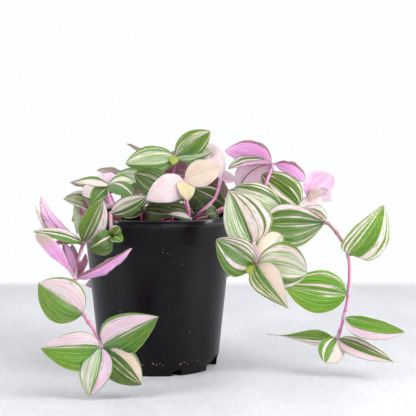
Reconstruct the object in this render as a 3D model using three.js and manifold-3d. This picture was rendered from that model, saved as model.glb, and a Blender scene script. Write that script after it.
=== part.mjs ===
// Potted tradescantia: a trailing, variegated houseplant in a black nursery pot.
// Millimetres, +Z up, origin at the centre of the pot's underside. The front is -Y.
// Each rooted stem is one solid with its leaves, and stands in a plain hole in the potting mix.

import * as THREE from 'three';
import { mergeVertices } from 'three/addons/utils/BufferGeometryUtils.js';
import Module from 'manifold-3d';

// Pot: thin moulded plastic, 11 cm across the rim.
const RIM_RADIUS = 55;
const POT_HEIGHT = 106.4;
const RIM_BOTTOM = 102.4;
const RIM_BORE = 51;
const RIM_ROUND = 0.8;
const COLLAR_TOP_RADIUS = 52.2;
const COLLAR_FOOT_RADIUS = 51.2;
const COLLAR_FOOT = 88.6;
const BODY_TOP_RADIUS = 50.4;
const BODY_TOP = 88;
const BODY_FOOT_RADIUS = 42;
const BODY_FOOT = 7.5;
const FOOT_RADIUS = 40.3;
const FOOT_BEVEL_RADIUS = 40.9;
const FOOT_BEVEL = 5;
const WALL = 1.2;
const RECESS = 2;
const FOOT_RING_WIDTH = 2.3;
const PAD_RADIUS = 14;
const POT_SEGMENTS = 36;

// Drain notches around the foot.
const NOTCHES = 9;
const NOTCH_WIDTH = 6.5;
const NOTCH_HEIGHT = 4;
const NOTCH_DEPTH = 9;
const NOTCH_FIRST = THREE.MathUtils.degToRad(-70.5);

// Potting mix.
const GAP = 0.3;
const MIX_BOTTOM = 3.5;
const MIX_BOTTOM_RADIUS = 38;
const MIX_TOP = 95;
const MIX_SHOULDER = 97;
const MIX_SHOULDER_RADIUS = 42;
const MIX_CROWN = 98;
const MIX_CROWN_RADIUS = 20;
const MIX_SEGMENTS = 24;

// Stems: rooted feet with a straight stretch, and the plain hole round each foot.
const FOOT_Z = 84;
const STRAIGHT = 15;
const HOLE_CLEARANCE = 0.7;
const HOLE_SIDES = 6;
const STEM_SIDES = 5;
const STEPS_PER_NODE = 2;
const STEM_END = 2;

// Leaves: blade thickness, its narrow neck, its root in the stem, and its blunt tip.
const BLADE = 0.8;
const NECK = 0.07;
const NECK_HALF = 0.9;
const TIP_HALF = 0.35;
const ROOT = 1.3;
const BOW = 0.06;

// The outline swells as the power RISE from the neck and closes as the power FALL at the tip.
const RISE = 0.62;
const FALL = 0.8;
const FOLD = 0.06;

// Places along a blade where its section is drawn: fewer on a small leaf, more on a wide one.
const SMALL_STATIONS = [0, 0.12, 0.36, 0.7, 1];
const STATIONS = [0, 0.1, 0.26, 0.5, 0.77, 1];
const WIDE_STATIONS = [0, 0.1, 0.2, 0.38, 0.6, 0.82, 1];
const SMALL_LEAF = 15;
const WIDE_LEAF = 22;
const ACROSS = [-1, 0, 1];

// A node where several leaves meet is swollen to this share of the stem's girth.
const KNOB = 0.85;

// Finishes.
const POT_BLACK = 0x1b1b1d;
const POT_ROUGHNESS = 0.42;
const MIX_BROWN = 0x2e211a;
const MIX_ROUGHNESS = 0.95;
const LEAF_GREEN = 0x7d9a57;
const LEAF_ROUGHNESS = 0.45;

const wasm = await Module();
wasm.setup();

// A closed geometry as a solid that can be joined and cut.
function toSolid(geometry) {
  const plain = geometry.clone();
  plain.deleteAttribute('normal');
  plain.deleteAttribute('uv');
  const merged = mergeVertices(plain, 1e-4);
  return new wasm.Manifold(new wasm.Mesh({
    numProp: 3,
    vertProperties: new Float32Array(merged.attributes.position.array),
    triVerts: new Uint32Array(merged.index.array),
  }));
}

function toGeometry(solid) {
  const mesh = solid.getMesh();
  const geometry = new THREE.BufferGeometry();
  geometry.setAttribute('position', new THREE.BufferAttribute(mesh.vertProperties, 3));
  geometry.setIndex(new THREE.BufferAttribute(mesh.triVerts, 1));
  geometry.computeVertexNormals();
  return geometry;
}

// A profile of [radius, z] points turned about +Z.
function turned(profile, segments) {
  const points = profile.map(([radius, z]) => new THREE.Vector2(radius, z));
  return new THREE.LatheGeometry(points, segments).rotateX(Math.PI / 2);
}

function polygon(radius, sides) {
  const shape = new THREE.Shape();
  for (let side = 0; side < sides; side += 1) {
    const angle = (2 * Math.PI * side) / sides;
    const x = radius * Math.cos(angle);
    const y = radius * Math.sin(angle);
    if (side === 0) {
      shape.moveTo(x, y);
    } else {
      shape.lineTo(x, y);
    }
  }
  return shape;
}

// The pot's section: underside with its pad and foot ring, outer wall, rim, inner wall, floor.
function potGeometry() {
  const floor = RECESS + WALL;
  const profile = [
    [0, 0],
    [PAD_RADIUS, 0],
    [PAD_RADIUS + RECESS, RECESS],
    [FOOT_RADIUS - FOOT_RING_WIDTH - RECESS, RECESS],
    [FOOT_RADIUS - FOOT_RING_WIDTH, 0],
    [FOOT_RADIUS, 0],
    [FOOT_BEVEL_RADIUS, FOOT_BEVEL],
    [BODY_FOOT_RADIUS, BODY_FOOT],
    [BODY_TOP_RADIUS, BODY_TOP],
    [COLLAR_FOOT_RADIUS, COLLAR_FOOT],
    [COLLAR_TOP_RADIUS, RIM_BOTTOM],
    [RIM_RADIUS, RIM_BOTTOM],
    [RIM_RADIUS, POT_HEIGHT - RIM_ROUND],
    [RIM_RADIUS - RIM_ROUND, POT_HEIGHT],
    [RIM_BORE + RIM_ROUND, POT_HEIGHT],
    [RIM_BORE, POT_HEIGHT - RIM_ROUND],
    [COLLAR_FOOT_RADIUS - WALL, COLLAR_FOOT],
    [BODY_TOP_RADIUS - WALL, BODY_TOP],
    [BODY_FOOT_RADIUS - WALL, BODY_FOOT],
    [FOOT_RADIUS - WALL, floor],
    [PAD_RADIUS + RECESS, floor],
    [PAD_RADIUS, WALL],
    [0, WALL],
  ];
  let pot = toSolid(turned(profile, POT_SEGMENTS));
  for (let notch = 0; notch < NOTCHES; notch += 1) {
    const cutter = new THREE.BoxGeometry(NOTCH_DEPTH, NOTCH_WIDTH, 2 * NOTCH_HEIGHT);
    cutter.translate(FOOT_RADIUS, 0, 0);
    cutter.rotateZ(NOTCH_FIRST + (2 * Math.PI * notch) / NOTCHES);
    pot = pot.subtract(toSolid(cutter));
  }
  return toGeometry(pot);
}

// The potting mix fills the pot to below the rim, with a hole for each stem's foot.
function mixGeometry(feet) {
  const inset = WALL + GAP;
  const profile = [
    [0, MIX_BOTTOM],
    [MIX_BOTTOM_RADIUS, MIX_BOTTOM],
    [BODY_FOOT_RADIUS - inset, BODY_FOOT + GAP],
    [BODY_TOP_RADIUS - inset, BODY_TOP - GAP],
    [COLLAR_FOOT_RADIUS - inset, MIX_TOP],
    [MIX_SHOULDER_RADIUS, MIX_SHOULDER],
    [MIX_CROWN_RADIUS, MIX_CROWN],
    [0, MIX_CROWN],
  ];
  let mix = toSolid(turned(profile, MIX_SEGMENTS));
  for (const { x, y, radius } of feet) {
    const hole = new THREE.ExtrudeGeometry(polygon(radius + HOLE_CLEARANCE, HOLE_SIDES), {
      depth: 2 * STRAIGHT,
      bevelEnabled: false,
    });
    hole.translate(x, y, FOOT_Z - GAP);
    mix = mix.subtract(toSolid(hole));
  }
  return toGeometry(mix);
}

// Half the blade's width at u, from 0 at the stem to 1 at the tip, as a share of the widest.
function outline(u) {
  const t = Math.max(0, (u - NECK) / (1 - NECK));
  const peak = RISE / (RISE + FALL);
  return (t ** RISE * (1 - t) ** FALL) / (peak ** RISE * (1 - peak) ** FALL);
}

// A leaf is a grid of points over its blade, once on top and once below, closed by its edge.
// Its midrib is a shallow bow, and its two halves are folded up a little along it.
function leafSolid(base, { tip, faces, width, arch = BOW, skew = 0 }) {
  const foot = new THREE.Vector3(...base);
  const along = new THREE.Vector3(...tip).sub(foot).normalize();
  foot.addScaledVector(along, -ROOT);
  const length = foot.distanceTo(new THREE.Vector3(...tip));
  const normal = new THREE.Vector3(...faces).projectOnPlane(along).normalize();
  const side = new THREE.Vector3().crossVectors(normal, along);
  let stations = STATIONS;
  if (width < SMALL_LEAF) {
    stations = SMALL_STATIONS;
  } else if (width >= WIDE_LEAF) {
    stations = WIDE_STATIONS;
  }
  const columns = ACROSS.length;
  const rows = stations.length;
  const points = [];
  for (const height of [BLADE / 2, -BLADE / 2]) {
    for (const u of stations) {
      for (const v of ACROSS) {
        const least = u < 0.5 ? NECK_HALF : TIP_HALF;
        const half = Math.max(least, (width / 2) * outline(u) * (1 + skew * v));
        const lift = arch * length * 4 * u * (1 - u) + half * FOLD * Math.abs(v);
        const point = foot.clone().addScaledVector(along, u * length);
        point.addScaledVector(side, v * half).addScaledVector(normal, lift + height);
        points.push(point.x, point.y, point.z);
      }
    }
  }
  const top = (row, column) => row * columns + column;
  const under = (row, column) => (rows + row) * columns + column;
  const faceList = [];
  for (let row = 0; row < rows - 1; row += 1) {
    for (let column = 0; column < columns - 1; column += 1) {
      faceList.push(top(row, column), top(row + 1, column), top(row, column + 1));
      faceList.push(top(row, column + 1), top(row + 1, column), top(row + 1, column + 1));
      faceList.push(under(row, column), under(row, column + 1), under(row + 1, column));
      faceList.push(under(row, column + 1), under(row + 1, column + 1), under(row + 1, column));
    }
    const last = columns - 1;
    faceList.push(top(row, 0), under(row, 0), top(row + 1, 0));
    faceList.push(top(row + 1, 0), under(row, 0), under(row + 1, 0));
    faceList.push(top(row, last), top(row + 1, last), under(row, last));
    faceList.push(top(row + 1, last), under(row + 1, last), under(row, last));
  }
  for (let column = 0; column < columns - 1; column += 1) {
    const end = rows - 1;
    faceList.push(top(0, column), top(0, column + 1), under(0, column));
    faceList.push(top(0, column + 1), under(0, column + 1), under(0, column));
    faceList.push(top(end, column), under(end, column), top(end, column + 1));
    faceList.push(top(end, column + 1), under(end, column), under(end, column + 1));
  }
  const geometry = new THREE.BufferGeometry();
  geometry.setAttribute('position', new THREE.Float32BufferAttribute(points, 3));
  geometry.setIndex(faceList);
  return toSolid(geometry);
}

// A stem follows its nodes in a smooth curve, after a straight foot in the potting mix.
function stemSolid(girth, nodes) {
  const foot = new THREE.Vector3(...nodes[0]);
  const above = nodes.slice(1).map((node) => new THREE.Vector3(...node));
  const last = above.at(-1);
  const end = last.clone().sub(above.at(-2)).setLength(STEM_END).add(last);
  const curve = new THREE.CatmullRomCurve3([
    foot,
    foot.clone().setZ(FOOT_Z + STRAIGHT / 2),
    foot.clone().setZ(FOOT_Z + STRAIGHT),
    ...above,
    end,
  ]);
  const section = polygon(girth / 2, STEM_SIDES);
  return toSolid(new THREE.ExtrudeGeometry(section, {
    steps: STEPS_PER_NODE * (nodes.length + 1),
    extrudePath: curve,
    bevelEnabled: false,
  }));
}

const leaf = (node, tip, faces, width, arch, skew) => ({ node, tip, faces, width, arch, skew });

// Every leafy stem: its name, girth, nodes from the foot up, and leaves.
// A leaf names its node, where its tip is, the way its upper face looks, and its width.
const shoots = [];
function shoot(name, girth, nodes, leaves) {
  shoots.push({ name, girth, nodes, leaves });
}

shoot('right_trailer', 3, [
  [22, -3, 84], [40, -6, 106], [58, -10, 115], [71, -12, 116], [85, -17, 111], [97, -20, 112],
  [115, -24, 102], [124, -27, 91], [129, -28, 80], [129, -30, 54], [126, -30, 38], [122, -30, 24],
], [
  leaf(4, [57, -26, 128], [0.3, -0.9, 0.2], 22, 0.04),
  leaf(5, [71, -14, 134], [0, -0.9, 0.3], 24, 0.02),
  leaf(6, [72, -34, 102], [0, -0.9, 0.35], 29, 0.03),
  leaf(6, [95, -14, 112], [0, -0.6, 0.8], 17, 0.1),
  leaf(8, [151, -36, 115], [0.5, -0.9, -0.2], 27, 0.1),
  leaf(9, [87, -38, 59], [0, -0.95, -0.1], 30, 0.05),
  leaf(10, [165, -44, 31], [0.1, -0.8, 0.6], 19, 0),
  leaf(11, [74, -30, 27], [0, -0.5, 0.85], 13, -0.05),
  leaf(11, [113, -42, 10], [0, -0.9, 0.3], 19, 0.06),
  leaf(11, [157, -52, 13], [0.1, -0.75, 0.65], 18, 0),
]);
shoot('front_right', 3.2, [
  [30, -20, 84], [40, -30, 110], [48, -36, 113], [57, -50, 105], [63, -60, 91], [65, -62, 79],
], [
  leaf(4, [48, -62, 127], [0.2, -0.9, 0.3], 32, 0.05),
  leaf(5, [40, -76, 97], [-0.2, -0.9, -0.1], 25, 0.08, 0.2),
  leaf(5, [97, -80, 76], [0.1, -0.75, 0.65], 33, 0.12),
  leaf(5, [85, -82, 53], [0.35, -0.85, 0.4], 21, 0.06),
  leaf(5, [90, -46, 88], [0, -0.6, 0.8], 16, 0.24),
  leaf(5, [58, -74, 101], [-0.4, -0.8, 0.1], 9, 0.1),
  leaf(5, [61, -68, 71], [-0.2, -0.9, 0.1], 6, 0.1),
]);
shoot('top_right', 2.6, [
  [33, 4, 84], [46, 4, 110], [65, 4, 113], [73, 0, 122], [76, -2, 131], [79, -3, 140],
], [
  leaf(5, [46, -8, 150], [0, 0.7, 0.7], 24, 0.14),
  leaf(5, [48, -22, 138], [0, 0.5, 0.85], 20, 0.12),
  leaf(5, [100, -10, 131], [0, 0.55, 0.8], 17, 0.14),
  leaf(5, [44, 4, 126], [0.3, 0.9, 0.2], 24, 0),
  leaf(3, [66, -8, 127], [0, -0.6, 0.7], 5),
]);
shoot('right_back', 2.6, [
  [33, 22, 84], [41, 28, 110], [54, 35, 114], [70, 36, 113], [86, 34, 109], [106, 30, 114],
], [
  leaf(5, [122, 26, 132], [-0.2, 0.8, 0.5], 24, 0.05),
  leaf(5, [112, 22, 107], [0, -0.5, 0.8], 15, 0.1),
  leaf(5, [125, 42, 113], [0, 0.7, 0.7], 18, 0.12),
]);
shoot('top', 2.8, [
  [8, 10, 84], [9, 8, 112], [10, 5, 132], [12, 2, 145],
], [
  leaf(3, [-22, -10, 141], [0, -0.85, 0.45], 21, 0.02),
  leaf(3, [36, -2, 163], [0.2, -0.9, 0.4], 19),
  leaf(3, [37, 22, 150], [0, -0.6, 0.8], 18),
  leaf(3, [13, -6, 139], [0, -0.8, 0.6], 8, 0.1),
]);
shoot('blush', 3.2, [
  [22, -36, 84], [22, -38, 106], [20, -36, 119], [19, -36, 131],
], [
  leaf(3, [-5, -50, 119], [0, -0.9, 0.2], 22, 0.03),
  leaf(3, [43, -34, 140], [0, -0.8, 0.5], 20),
  leaf(3, [21, -46, 117], [0.2, -0.9, 0.3], 12),
]);
shoot('blush_back', 2.4, [
  [22, -20, 84], [28, -24, 108], [39, -19, 118], [43, -17, 131],
], [
  leaf(3, [32, 13, 155], [0, -0.9, 0.4], 17),
]);
shoot('left_crown', 2.4, [
  [-24, -22, 84], [-28, -26, 112], [-31, -27, 122], [-32, -27, 127],
], [
  leaf(3, [-54, -34, 130], [0, -0.6, 0.8], 15, 0.1),
  leaf(3, [-15, -30, 130], [0, -0.5, 0.85], 15, 0.12),
  leaf(3, [-38, -5, 134], [0, -0.9, 0.4], 14, 0.05),
  leaf(3, [-43, -40, 116], [0, -0.7, 0.7], 12, 0.1),
  leaf(3, [-14, -44, 120], [0, -0.6, 0.8], 14, 0.14),
]);
shoot('centre_left', 2.6, [
  [2, -8, 84], [7, -8, 114], [5, -10, 124],
], [
  leaf(2, [-15, -18, 135], [0, -0.95, 0.2], 21, 0.04),
  leaf(2, [-30, 6, 133], [0, -0.8, 0.6], 19, 0.1),
]);
shoot('left_rim', 2.6, [
  [-24, -34, 84], [-28, -44, 110], [-29, -50, 111], [-28, -58, 97],
], [
  leaf(2, [-6, -50, 122], [0.2, -0.95, 0.1], 15, 0.05),
  leaf(3, [-42, -69, 90], [-0.1, -0.95, -0.3], 17, 0.14),
  leaf(3, [-22, -64, 103], [0, -0.9, 0.3], 9, 0.05),
  leaf(3, [-20, -70, 95], [0, -0.8, 0.5], 8, 0.05),
]);
shoot('left_side', 2.4, [
  [-30, -8, 84], [-44, -18, 110], [-50, -22, 114], [-55, -22, 117],
], [
  leaf(3, [-54, -24, 94], [-0.5, -0.8, 0.3], 8, -0.04),
  leaf(2, [-62, -30, 119], [0, -0.3, 0.9], 14, 0.1),
]);
shoot('left_trailer', 3, [
  [-26, -26, 84], [-36, -46, 112], [-42, -56, 106], [-46, -64, 93], [-50, -76, 72],
  [-44, -82, 50], [-38, -84, 41], [-33, -86, 30],
], [
  leaf(3, [-33, -62, 121], [0.25, -0.9, 0.1], 17),
  leaf(3, [-72, -70, 124], [-0.6, 0.6, -0.5], 13, 0.17),
  leaf(3, [-76, -76, 102], [0, -0.5, 0.85], 11, 0.08),
  leaf(4, [-73, -84, 102], [0.6, 0.5, 0.6], 13, 0.14),
  leaf(4, [-53, -66, 92], [0, 0.9, 0.3], 8),
  leaf(4, [-45, -60, 86], [0.5, 0.9, 0.3], 9),
  leaf(4, [-14, -72, 91], [0.3, 0.6, 0.8], 15, -0.1),
  leaf(5, [-71, -92, 72], [-0.1, -0.9, 0.35], 29, 0.03),
  leaf(7, [3, -84, 49], [0.1, -0.9, 0.3], 27, 0.05),
  leaf(7, [-69, -100, 32], [-0.1, -0.95, 0.2], 25, 0.03),
  leaf(7, [-39, -103, 3], [0, -0.8, 0.5], 21),
  leaf(7, [-7, -98, 9], [0.2, -0.9, 0.2], 23, 0.05),
]);

// The shoots in the middle and at the back follow one rule. A stem rises from its foot, leans out
// along its azimuth and hangs. Its leaves stand left and right by turns, varied by a seeded draw.
const RULED_GIRTH = 2.6;
const RULED_BOW = 0.08;
const LEAN = 3;
const SWAY = [-1, 1];
const SIDEWAYS = [0.7, 1];
const FORWARD = [0.3, 0.8];
const OUTWARD = 0.2;
const UPWARD = [0, 0.35];
const LENGTHS = [0.85, 1.1];
const WIDTHS = [0.48, 0.6];

function ruledShoot(name, { azimuth, foot, top, reach, hang, count, size, seed }) {
  let state = seed;
  const vary = ([least, most]) => {
    state = (state * 9301 + 49297) % 233280;
    return least + ((most - least) * state) / 233280;
  };
  const angle = THREE.MathUtils.degToRad(azimuth);
  const out = new THREE.Vector3(Math.cos(angle), Math.sin(angle), 0);
  const side = new THREE.Vector3(-Math.sin(angle), Math.cos(angle), 0);
  const up = new THREE.Vector3(0, 0, 1);
  const at = (radius, z) => out.clone().multiplyScalar(radius).setZ(z);
  const bow = new THREE.CubicBezierCurve3(
    at(foot, FOOT_Z + STRAIGHT),
    at(foot + LEAN, top),
    at(reach, top),
    at(reach, hang),
  );
  const nodes = [at(foot, FOOT_Z)];
  const leaves = [];
  for (let node = 1; node <= count; node += 1) {
    const t = node / count;
    const tangent = bow.getTangent(t);
    nodes.push(bow.getPoint(t).addScaledVector(side, vary(SWAY)));
    const hands = node === count ? [1, -1] : [node % 2 === 0 ? 1 : -1];
    for (const hand of hands) {
      const way = side.clone().multiplyScalar(hand * vary(SIDEWAYS));
      way.addScaledVector(tangent, vary(FORWARD)).addScaledVector(out, OUTWARD);
      way.addScaledVector(up, vary(UPWARD)).normalize();
      const length = size * vary(LENGTHS);
      const tip = nodes[node].clone().addScaledVector(way, length);
      const faces = up.clone().multiplyScalar(0.6 + 0.3 * tangent.z);
      faces.addScaledVector(out, 0.6 - 0.3 * tangent.z);
      if (node > 1) {
        leaves.push(leaf(node, tip.toArray(), faces.toArray(), vary(WIDTHS) * length, RULED_BOW));
      }
    }
  }
  shoot(name, RULED_GIRTH, nodes.map((point) => point.toArray()), leaves);
}

ruledShoot('back_left_trailer', {
  azimuth: 112, foot: 36, top: 132, reach: 64, hang: 50, count: 6, size: 36, seed: 1,
});
ruledShoot('back_right_trailer', {
  azimuth: 74, foot: 34, top: 128, reach: 66, hang: 70, count: 5, size: 35, seed: 1,
});
ruledShoot('left_back', {
  azimuth: 152, foot: 34, top: 124, reach: 50, hang: 114, count: 4, size: 29, seed: 4,
});
ruledShoot('middle_back', {
  azimuth: 95, foot: 18, top: 138, reach: 26, hang: 136, count: 4, size: 32, seed: 1,
});
ruledShoot('middle_right', {
  azimuth: 36, foot: 26, top: 134, reach: 36, hang: 128, count: 4, size: 30, seed: 11,
});
ruledShoot('low_front', {
  azimuth: 255, foot: 28, top: 116, reach: 32, hang: 112, count: 3, size: 22, seed: 16,
});
ruledShoot('low_right', {
  azimuth: 285, foot: 20, top: 116, reach: 24, hang: 112, count: 3, size: 20, seed: 7,
});

function finish(color, roughness) {
  return new THREE.MeshStandardMaterial({ color, roughness, metalness: 0 });
}

function piece(name, geometry, material) {
  const mesh = new THREE.Mesh(geometry, material);
  mesh.name = name;
  return mesh;
}

const plant = new THREE.Group();
for (const { name, girth, nodes, leaves } of shoots) {
  let solid = stemSolid(girth, nodes);
  nodes.forEach((node, index) => {
    if (leaves.filter((entry) => entry.node === index).length > 1) {
      solid = solid.add(toSolid(new THREE.IcosahedronGeometry(KNOB * girth).translate(...node)));
    }
  });
  for (const entry of leaves) {
    solid = solid.add(leafSolid(nodes[entry.node], entry));
  }
  plant.add(piece(name, toGeometry(solid), finish(LEAF_GREEN, LEAF_ROUGHNESS)));
}

const feet = shoots.map(({ girth, nodes }) => ({ x: nodes[0][0], y: nodes[0][1], radius: girth / 2 }));
const potted = new THREE.Group();
potted.add(piece('pot', potGeometry(), finish(POT_BLACK, POT_ROUGHNESS)));
potted.add(piece('potting_mix', mixGeometry(feet), finish(MIX_BROWN, MIX_ROUGHNESS)));
potted.add(plant);

export default potted;
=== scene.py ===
"""Potted tradescantia: trailing striped shoots in a black nursery pot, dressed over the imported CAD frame.
Metres in Blender; the sizes below are in millimetres and go through MM. +Z is up and -Y is the front."""

import math
from types import SimpleNamespace

import bpy
import numpy as np
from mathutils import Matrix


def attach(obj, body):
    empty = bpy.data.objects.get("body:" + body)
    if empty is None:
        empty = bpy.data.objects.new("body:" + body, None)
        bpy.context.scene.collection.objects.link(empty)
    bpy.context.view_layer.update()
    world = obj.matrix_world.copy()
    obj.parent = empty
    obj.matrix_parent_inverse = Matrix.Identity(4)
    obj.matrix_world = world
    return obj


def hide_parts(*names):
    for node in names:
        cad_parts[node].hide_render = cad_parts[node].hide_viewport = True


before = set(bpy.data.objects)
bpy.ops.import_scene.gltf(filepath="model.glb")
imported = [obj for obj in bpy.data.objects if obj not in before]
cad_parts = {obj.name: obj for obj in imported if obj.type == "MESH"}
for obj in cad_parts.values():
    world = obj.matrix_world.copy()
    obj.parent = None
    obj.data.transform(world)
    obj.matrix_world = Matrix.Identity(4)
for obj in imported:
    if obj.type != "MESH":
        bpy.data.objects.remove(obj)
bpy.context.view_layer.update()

# Pot: a thin 11 cm nursery pot, injection moulded in black polypropylene. It has a flat rim over a
# short collar, a tapering body, and a foot ring with nine drain notches round a small flat pad. Every
# third notch is wide and runs up into the wall, so that the mix shows in it.
MM = 0.001
RIM_RADIUS, RIM_BORE, RIM_BOTTOM, RIM_STEP, POT_HEIGHT = 55, 51, 102.4, 1, 106.4
COLLAR_TOP_RADIUS, COLLAR_FOOT_RADIUS, COLLAR_FOOT = 52.2, 51.2, 88.6
BODY_TOP_RADIUS, BODY_TOP, BODY_FOOT_RADIUS, BODY_FOOT = 50.4, 88, 42, 7.5
BODY_WIDENING = ((2.8, 35), (5.6, 62))
FOOT_RADIUS, FOOT_BEVEL_RADIUS, FOOT_BEVEL, FOOT_RING_WIDTH = 40.3, 40.9, 5, 2.3
WALL, RECESS, PAD_RADIUS, CORNER_CUT, SHARP_ANGLE = 1.2, 2, 14, 0.7, 40
NOTCHES, NOTCH_WIDTH, NOTCH_HEIGHT, NOTCH_DEPTH, NOTCH_FIRST = 9, 6.5, 4, 9, -70.5
WIDE_NOTCH_WIDTH, WIDE_NOTCH_HEIGHT, WIDE_NOTCH_TURN = 20, 8.2, 10
POT_SEGMENTS = 216

# How far the moulding is out of true: waves of (height, number round the pot, start), and the heights
# between which they grow to their full size.
RADIUS_WAVES, RADIUS_FROM, RADIUS_TO = ((0.16, 3, 0.4), (0.09, 8, 1.3), (0.05, 17, 0)), 60, 104
LEVEL_WAVES, LEVEL_FROM, LEVEL_TO = ((0.14, 2, 0.9), (0.1, 9, 2), (0.06, 23, 0.5)), 101, 106


def put(name, data):
    """A new object of this data, linked to the scene."""
    made = bpy.data.objects.new(name, data)
    bpy.context.scene.collection.objects.link(made)
    return made


def mesh_piece(name, points, faces, uv=None, **attributes):
    """A mesh object of points in millimetres, faces as rows of point numbers, a UV for each point,
    and named attributes of three or four numbers for each point. Its place is in its mesh."""
    mesh = bpy.data.meshes.new(name)
    points = np.asarray(points, float).reshape(-1, 3)
    mesh.from_pydata((points * MM).tolist(), [], [list(map(int, face)) for face in faces])
    mesh.shade_smooth()
    if uv is not None:
        corners = np.empty(len(mesh.loops), np.int32)
        mesh.loops.foreach_get("vertex_index", corners)
        layer = mesh.uv_layers.new(name="UVMap")
        layer.uv.foreach_set("vector", np.asarray(uv, np.float32).reshape(-1, 2)[corners].ravel())
    for title, values in attributes.items():
        values = np.asarray(values, np.float32).reshape(len(points), -1)
        kind, field = ("FLOAT_COLOR", "color") if values.shape[1] == 4 else ("FLOAT_VECTOR", "vector")
        mesh.attributes.new(title, kind, "POINT").data.foreach_set(field, values.ravel())
    return put(name, mesh)


def grid_faces(rows, columns, close_rows=False, close_columns=False):
    """Quads of a grid of points numbered row by row. A closed direction joins its last line to its
    first. Faces look along (next row) x (next column)."""
    r, c = np.meshgrid(
        np.arange(rows if close_rows else rows - 1),
        np.arange(columns if close_columns else columns - 1),
        indexing="ij",
    )
    r2, c2 = (r + 1) % rows, (c + 1) % columns
    quads = np.stack([r * columns + c, r2 * columns + c, r2 * columns + c2, r * columns + c2], -1)
    return quads.reshape(-1, 4)


def capped_faces(rings, sides):
    """Faces of rings of points numbered ring by ring, with two more points, before the first ring and past
    the last, each joined to its ring by a fan. They look outwards where the rings are numbered
    counter-clockwise as seen from past the last."""
    here = np.arange(sides)
    after = (here + 1) % sides
    first_hub, last_hub, last_ring = rings * sides, rings * sides + 1, (rings - 1) * sides
    return [
        *grid_faces(rings, sides, close_columns=True)[:, ::-1].tolist(),
        *np.stack([np.full(sides, first_hub), after, here], 1).tolist(),
        *np.stack([np.full(sides, last_hub), last_ring + here, last_ring + after], 1).tolist(),
    ]


def copied_faces(faces, points, count):
    """The faces of count like shapes of so many points each, numbered one shape after the other."""
    return (faces[None] + points * np.arange(count)[:, None, None]).reshape(-1, faces.shape[1])


def polar(r, a, z):
    """The points (r cos a, r sin a, z)."""
    return np.stack([r * np.cos(a), r * np.sin(a), z], -1)


def rounded(profile, cut, steps=4):
    """The profile with each corner C cut back by up to cut millimetres on both sides, to A and B, and
    rounded by the curve (1-t)^2 A + 2t(1-t) C + t^2 B. The first and last points stay."""
    points = np.array(profile, float)
    before = points[:-2] - points[1:-1]
    after = points[2:] - points[1:-1]
    near = np.linalg.norm(before, axis=1, keepdims=True)
    far = np.linalg.norm(after, axis=1, keepdims=True)
    a = points[1:-1] + before / near * np.minimum(cut, near * 0.45)
    b = points[1:-1] + after / far * np.minimum(cut, far * 0.45)
    t = np.linspace(0, 1, steps)[None, :, None]
    curve = (1 - t) ** 2 * a[:, None] + 2 * t * (1 - t) * points[1:-1, None] + t**2 * b[:, None]
    return np.concatenate([points[:1], curve.reshape(-1, 2), points[-1:]])


def turned(profile, segments, warp):
    """A profile of (radius, z) from axis to axis, turned about +Z: (r cos a, r sin a, z), where
    warp(r, z, a) gives new r and z. Its two ends on the axis are single points."""
    angle = np.arange(segments) * 2 * np.pi / segments
    r, z = (np.repeat(profile[1:-1, k, None], segments, 1) for k in (0, 1))
    a = np.broadcast_to(angle, r.shape)
    r, z = warp(r, z, a)
    ends = [[0, 0, profile[0, 1]], [0, 0, profile[-1, 1]]]
    return np.vstack([polar(r, a, z).reshape(-1, 3), ends]), capped_faces(len(profile) - 2, segments)


def rim_warp(r, z, a):
    """Thin plastic is never quite round: near the rim the radius follows a few slow waves of the angle,
    and the rim's level rises and falls a little. Both fade out down the wall."""
    def waves(rows):
        return sum(height * np.sin(number * a + start) for height, number, start in rows)

    share = np.clip((z - RADIUS_FROM) / (RADIUS_TO - RADIUS_FROM), 0, 1) ** 2
    top = np.clip((z - LEVEL_FROM) / (LEVEL_TO - LEVEL_FROM), 0, 1)
    return r + share * waves(RADIUS_WAVES), z + top * waves(LEVEL_WAVES)


pot_profile = np.array([
    (0, 0), (PAD_RADIUS, 0), (PAD_RADIUS + RECESS, RECESS),
    (FOOT_RADIUS - FOOT_RING_WIDTH - RECESS, RECESS), (FOOT_RADIUS - FOOT_RING_WIDTH, 0),
    (FOOT_RADIUS, 0), (FOOT_BEVEL_RADIUS, FOOT_BEVEL), (BODY_FOOT_RADIUS, BODY_FOOT),
    *[(BODY_FOOT_RADIUS + wider, level) for wider, level in BODY_WIDENING],
    (BODY_TOP_RADIUS, BODY_TOP), (COLLAR_FOOT_RADIUS, COLLAR_FOOT), (COLLAR_TOP_RADIUS, RIM_BOTTOM),
    (RIM_RADIUS, RIM_BOTTOM), (RIM_RADIUS, POT_HEIGHT), (RIM_BORE, POT_HEIGHT),
    (RIM_BORE, RIM_BOTTOM + RIM_STEP), (COLLAR_FOOT_RADIUS - WALL, COLLAR_FOOT),
    (BODY_TOP_RADIUS - WALL, BODY_TOP), (BODY_FOOT_RADIUS - WALL, BODY_FOOT),
    (FOOT_RADIUS - WALL, RECESS + WALL), (PAD_RADIUS + RECESS, RECESS + WALL),
    (PAD_RADIUS, WALL), (0, WALL),
])
pot = mesh_piece("pot_shell", *turned(rounded(pot_profile, CORNER_CUT), POT_SEGMENTS, rim_warp))

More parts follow.
